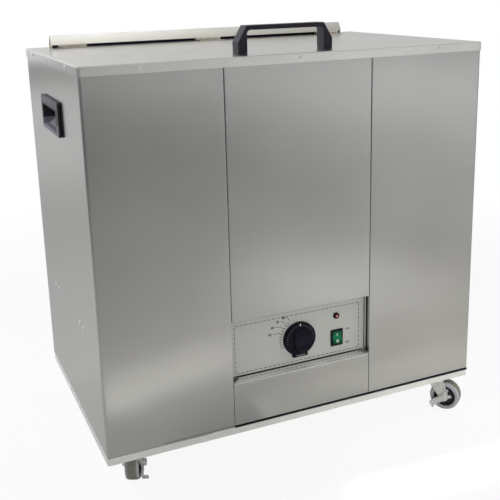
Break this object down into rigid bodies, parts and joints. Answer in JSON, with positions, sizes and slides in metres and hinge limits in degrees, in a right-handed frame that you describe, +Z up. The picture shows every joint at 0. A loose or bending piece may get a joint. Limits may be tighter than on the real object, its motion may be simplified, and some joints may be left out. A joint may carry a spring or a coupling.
{
  "type": "mobile hot pack heating unit",
  "caption": "Box-shaped stainless water heater on swivel casters, with a hinged lid, bridge handle, pocket grips, a recessed dial and rocker switch, and a tank inside with wire pack dividers.",
  "frame": {"origin": "on the floor, under the middle of the bounding box", "axes": "+X to the right as seen from the front, +Y to the back, +Z up; the controls face -Y"},
  "size_m": [0.7506, 0.4935, 0.7793],
  "materials": {
    "cabinet_steel": "stainless sheet, fine horizontal grain",
    "bright_steel": "bright stainless sheet and wire",
    "zinc": "bright zinc-plated steel",
    "brass": "plain brass and copper",
    "black_plastic": "black moulded plastic, low sheen",
    "label_plate": "steel plate under a pale grey-green printed label",
    "wheel_rubber": "grey caster tread",
    "mineral_wool": "mineral wool",
    "silicone": "grey silicone",
    "green_plastic": "translucent green rocker",
    "red_lens": "red lamp lens",
    "phenolic": "dark phenolic moulding"
  },
  "bodies": {
    "cabinet": {"base_pan": "cabinet_steel", "base_frame": "cabinet_steel", "left_side_panel": "cabinet_steel", "right_side_panel": "cabinet_steel", "upper_front_panel": "cabinet_steel", "lower_front_panel": "cabinet_steel", "back_panel": "cabinet_steel", "rear_deck": "cabinet_steel", "tank": "bright_steel", "hinge_rail": "bright_steel", "element_guard": "bright_steel", "left_divider": "bright_steel", "middle_divider": "bright_steel", "right_divider": "bright_steel", "left_fixed_leaf": "bright_steel", "left_hinge_pin": "bright_steel", "middle_fixed_leaf": "bright_steel", "middle_hinge_pin": "bright_steel", "right_fixed_leaf": "bright_steel", "right_hinge_pin": "bright_steel", "left_tank_support": "zinc", "right_tank_support": "zinc", "heating_element": "zinc", "control_box": "zinc", "front_left_caster_plate": "zinc", "front_right_caster_plate": "zinc", "rear_left_caster_plate": "zinc", "rear_right_caster_plate": "zinc", "drain_pipe": "brass", "thermostat_bulb": "brass", "left_grip": "black_plastic", "right_grip": "black_plastic", "switch_housing": "black_plastic", "pilot_lamp": "black_plastic", "cable_gland": "black_plastic", "control_plate": "label_plate", "tank_insulation": "mineral_wool", "tank_gasket": "silicone", "pilot_lens": "red_lens", "thermostat": "phenolic"},
    "lid": {"lid_skin": "cabinet_steel", "lid_liner": "cabinet_steel", "lid_insulation": "mineral_wool", "lid_handle": "black_plastic", "left_lid_leaf": "bright_steel", "middle_lid_leaf": "bright_steel", "right_lid_leaf": "bright_steel"},
    "dial": {"dial_knob": "black_plastic", "thermostat_shaft": "zinc"},
    "rocker": {"rocker": "green_plastic"},
    "front_left_swivel": {"front_left_fork": "zinc"},
    "front_left_wheel": {"front_left_wheel": "wheel_rubber"},
    "front_left_brake": {"front_left_brake_lever": "zinc"},
    "front_right_swivel": {"front_right_fork": "zinc"},
    "front_right_wheel": {"front_right_wheel": "wheel_rubber"},
    "front_right_brake": {"front_right_brake_lever": "zinc"},
    "rear_left_swivel": {"rear_left_fork": "zinc"},
    "rear_left_wheel": {"rear_left_wheel": "wheel_rubber"},
    "rear_right_swivel": {"rear_right_fork": "zinc"},
    "rear_right_wheel": {"rear_right_wheel": "wheel_rubber"}
  },
  "joints": [
    {"name": "lid_hinge", "type": "hinge", "parent": "cabinet", "child": "lid", "pos_m": [0, 0.194, 0.7375], "axis": [-1, 0, 0], "range_deg": [0, 105]},
    {"name": "dial_turn", "type": "hinge", "parent": "cabinet", "child": "dial", "pos_m": [0, -0.2145, 0.2185], "axis": [0, -1, 0], "range_deg": [-15, 115]},
    {"name": "rocker_tilt", "type": "hinge", "parent": "cabinet", "child": "rocker", "pos_m": [0.079, -0.2115, 0.2034], "axis": [1, 0, 0], "range_deg": [0, 16]},
    {"name": "front_left_swivel_turn", "type": "hinge", "parent": "cabinet", "child": "front_left_swivel", "pos_m": [-0.322, -0.2, 0.066], "axis": [0, 0, 1], "continuous": true},
    {"name": "front_left_wheel_roll", "type": "hinge", "parent": "front_left_swivel", "child": "front_left_wheel", "pos_m": [-0.31183, -0.17716, 0.02974], "axis": [-0.9135, 0.4067, 0], "continuous": true},
    {"name": "front_left_brake_lift", "type": "hinge", "parent": "front_left_swivel", "child": "front_left_brake", "pos_m": [-0.31183, -0.17716, 0.02974], "axis": [-0.9135, 0.4067, 0], "range_deg": [0, 35]},
    {"name": "front_right_swivel_turn", "type": "hinge", "parent": "cabinet", "child": "front_right_swivel", "pos_m": [0.314, -0.2, 0.066], "axis": [0, 0, 1], "continuous": true},
    {"name": "front_right_wheel_roll", "type": "hinge", "parent": "front_right_swivel", "child": "front_right_wheel", "pos_m": [0.33007, -0.21915, 0.02974], "axis": [0.766, 0.6428, 0], "continuous": true},
    {"name": "front_right_brake_lift", "type": "hinge", "parent": "front_right_swivel", "child": "front_right_brake", "pos_m": [0.33007, -0.21915, 0.02974], "axis": [0.766, 0.6428, 0], "range_deg": [0, 35]},
    {"name": "rear_left_swivel_turn", "type": "hinge", "parent": "cabinet", "child": "rear_left_swivel", "pos_m": [-0.318, 0.2, 0.066], "axis": [0, 0, 1], "continuous": true},
    {"name": "rear_left_wheel_roll", "type": "hinge", "parent": "rear_left_swivel", "child": "rear_left_wheel", "pos_m": [-0.2968, 0.21325, 0.02974], "axis": [-0.5299, 0.848, 0], "continuous": true},
    {"name": "rear_right_swivel_turn", "type": "hinge", "parent": "cabinet", "child": "rear_right_swivel", "pos_m": [0.318, 0.2, 0.066], "axis": [0, 0, 1], "continuous": true},
    {"name": "rear_right_wheel_roll", "type": "hinge", "parent": "rear_right_swivel", "child": "rear_right_wheel", "pos_m": [0.33822, 0.21469, 0.02974], "axis": [-0.5878, 0.809, 0], "continuous": true}
  ]
}
